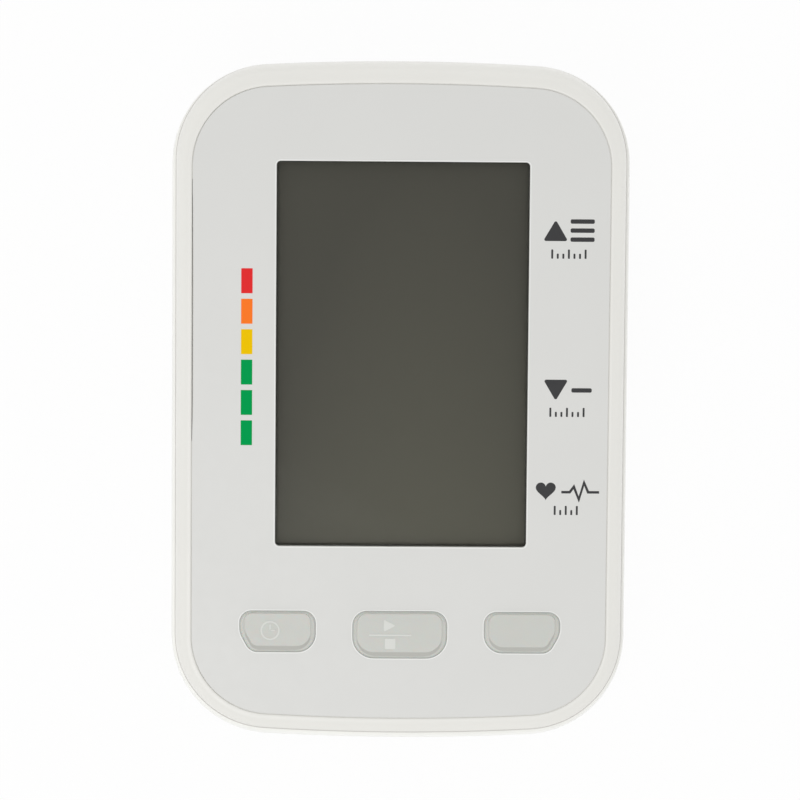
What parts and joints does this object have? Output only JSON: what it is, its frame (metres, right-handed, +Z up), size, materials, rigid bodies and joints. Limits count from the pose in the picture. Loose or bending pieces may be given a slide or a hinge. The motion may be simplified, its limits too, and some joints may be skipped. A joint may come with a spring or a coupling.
{
  "type": "blood pressure monitor",
  "caption": "Table-top blood pressure monitor with a sloped face, large display window, press keys, air socket, power inlet and a hinged battery cover underneath.",
  "frame": {"origin": "middle of the footprint, on the table surface under the feet", "axes": "+X to the user's right, -Y towards the user, +Z up"},
  "size_m": [0.0998, 0.1473, 0.0507],
  "materials": {
    "case_upper": "satin white",
    "case_lower": "satin white",
    "panel": "fine silk",
    "window": "clear over a dark display",
    "gasket": "matt",
    "lcd": "grey-green",
    "guide": "milky",
    "holder": "moulded",
    "strips": "layered",
    "board": "solder resist",
    "chips": "moulded",
    "screws": "plated",
    "switches": "moulded",
    "keys": "slightly translucent",
    "plungers": "moulded",
    "sensor": "moulded",
    "buzzer": "moulded",
    "motor": "drawn can",
    "pump_plastic": "moulded",
    "foam": "open foam",
    "manifold": "moulded",
    "hose": "soft, milky",
    "valve": "plated yoke",
    "bleed": "matt",
    "socket": "moulded",
    "inlet": "moulded",
    "pin": "nickel plated",
    "cells": "wrapped",
    "springs": "nickel plated wire",
    "contacts": "nickel plated",
    "cover": "satin white",
    "feet": "matt"
  },
  "bodies": {
    "housing": {"upper_case": "case_upper", "lower_case": "case_lower", "face_panel": "panel", "display_window": "window", "display_gasket": "gasket", "lcd_glass": "lcd", "light_guide": "guide", "lcd_holder": "holder", "contact_strips": "strips", "main_board": "board", "board_parts": "chips", "board_screws": "screws", "key_switches": "switches", "pressure_sensor": "sensor", "buzzer": "buzzer", "pump_motor": "motor", "pump_head": "pump_plastic", "pump_foam": "foam", "air_manifold": "manifold", "air_hoses": "hose", "release_valve": "valve", "bleed_valve": "bleed", "air_socket": "socket", "power_inlet": "inlet", "inlet_pin": "pin", "battery_cells": "cells", "battery_springs": "springs", "contact_plates": "contacts", "feet": "feet", "case_screws": "screws"},
    "left_key": {"left_key": "keys", "left_plunger": "plungers"},
    "centre_key": {"centre_key": "keys", "centre_plunger": "plungers"},
    "right_key": {"right_key": "keys", "right_plunger": "plungers"},
    "battery_door": {"battery_cover": "cover", "cover_latch": "cover"}
  },
  "joints": [
    {"name": "left_key_press", "type": "slide", "parent": "housing", "child": "left_key", "axis": [0, 0.1392, -0.9903], "range_m": [0, 0.0008], "stiffness_N_per_m": 1500},
    {"name": "centre_key_press", "type": "slide", "parent": "housing", "child": "centre_key", "axis": [0, 0.1392, -0.9903], "range_m": [0, 0.0008], "stiffness_N_per_m": 1500},
    {"name": "right_key_press", "type": "slide", "parent": "housing", "child": "right_key", "axis": [0, 0.1392, -0.9903], "range_m": [0, 0.0008], "stiffness_N_per_m": 1500},
    {"name": "battery_cover_hinge", "type": "hinge", "parent": "housing", "child": "battery_door", "pos_m": [0, -0.0414, 0.0023], "axis": [-1, 0, 0], "range_deg": [0, 60], "deforming": ["cover_latch"]}
  ]
}
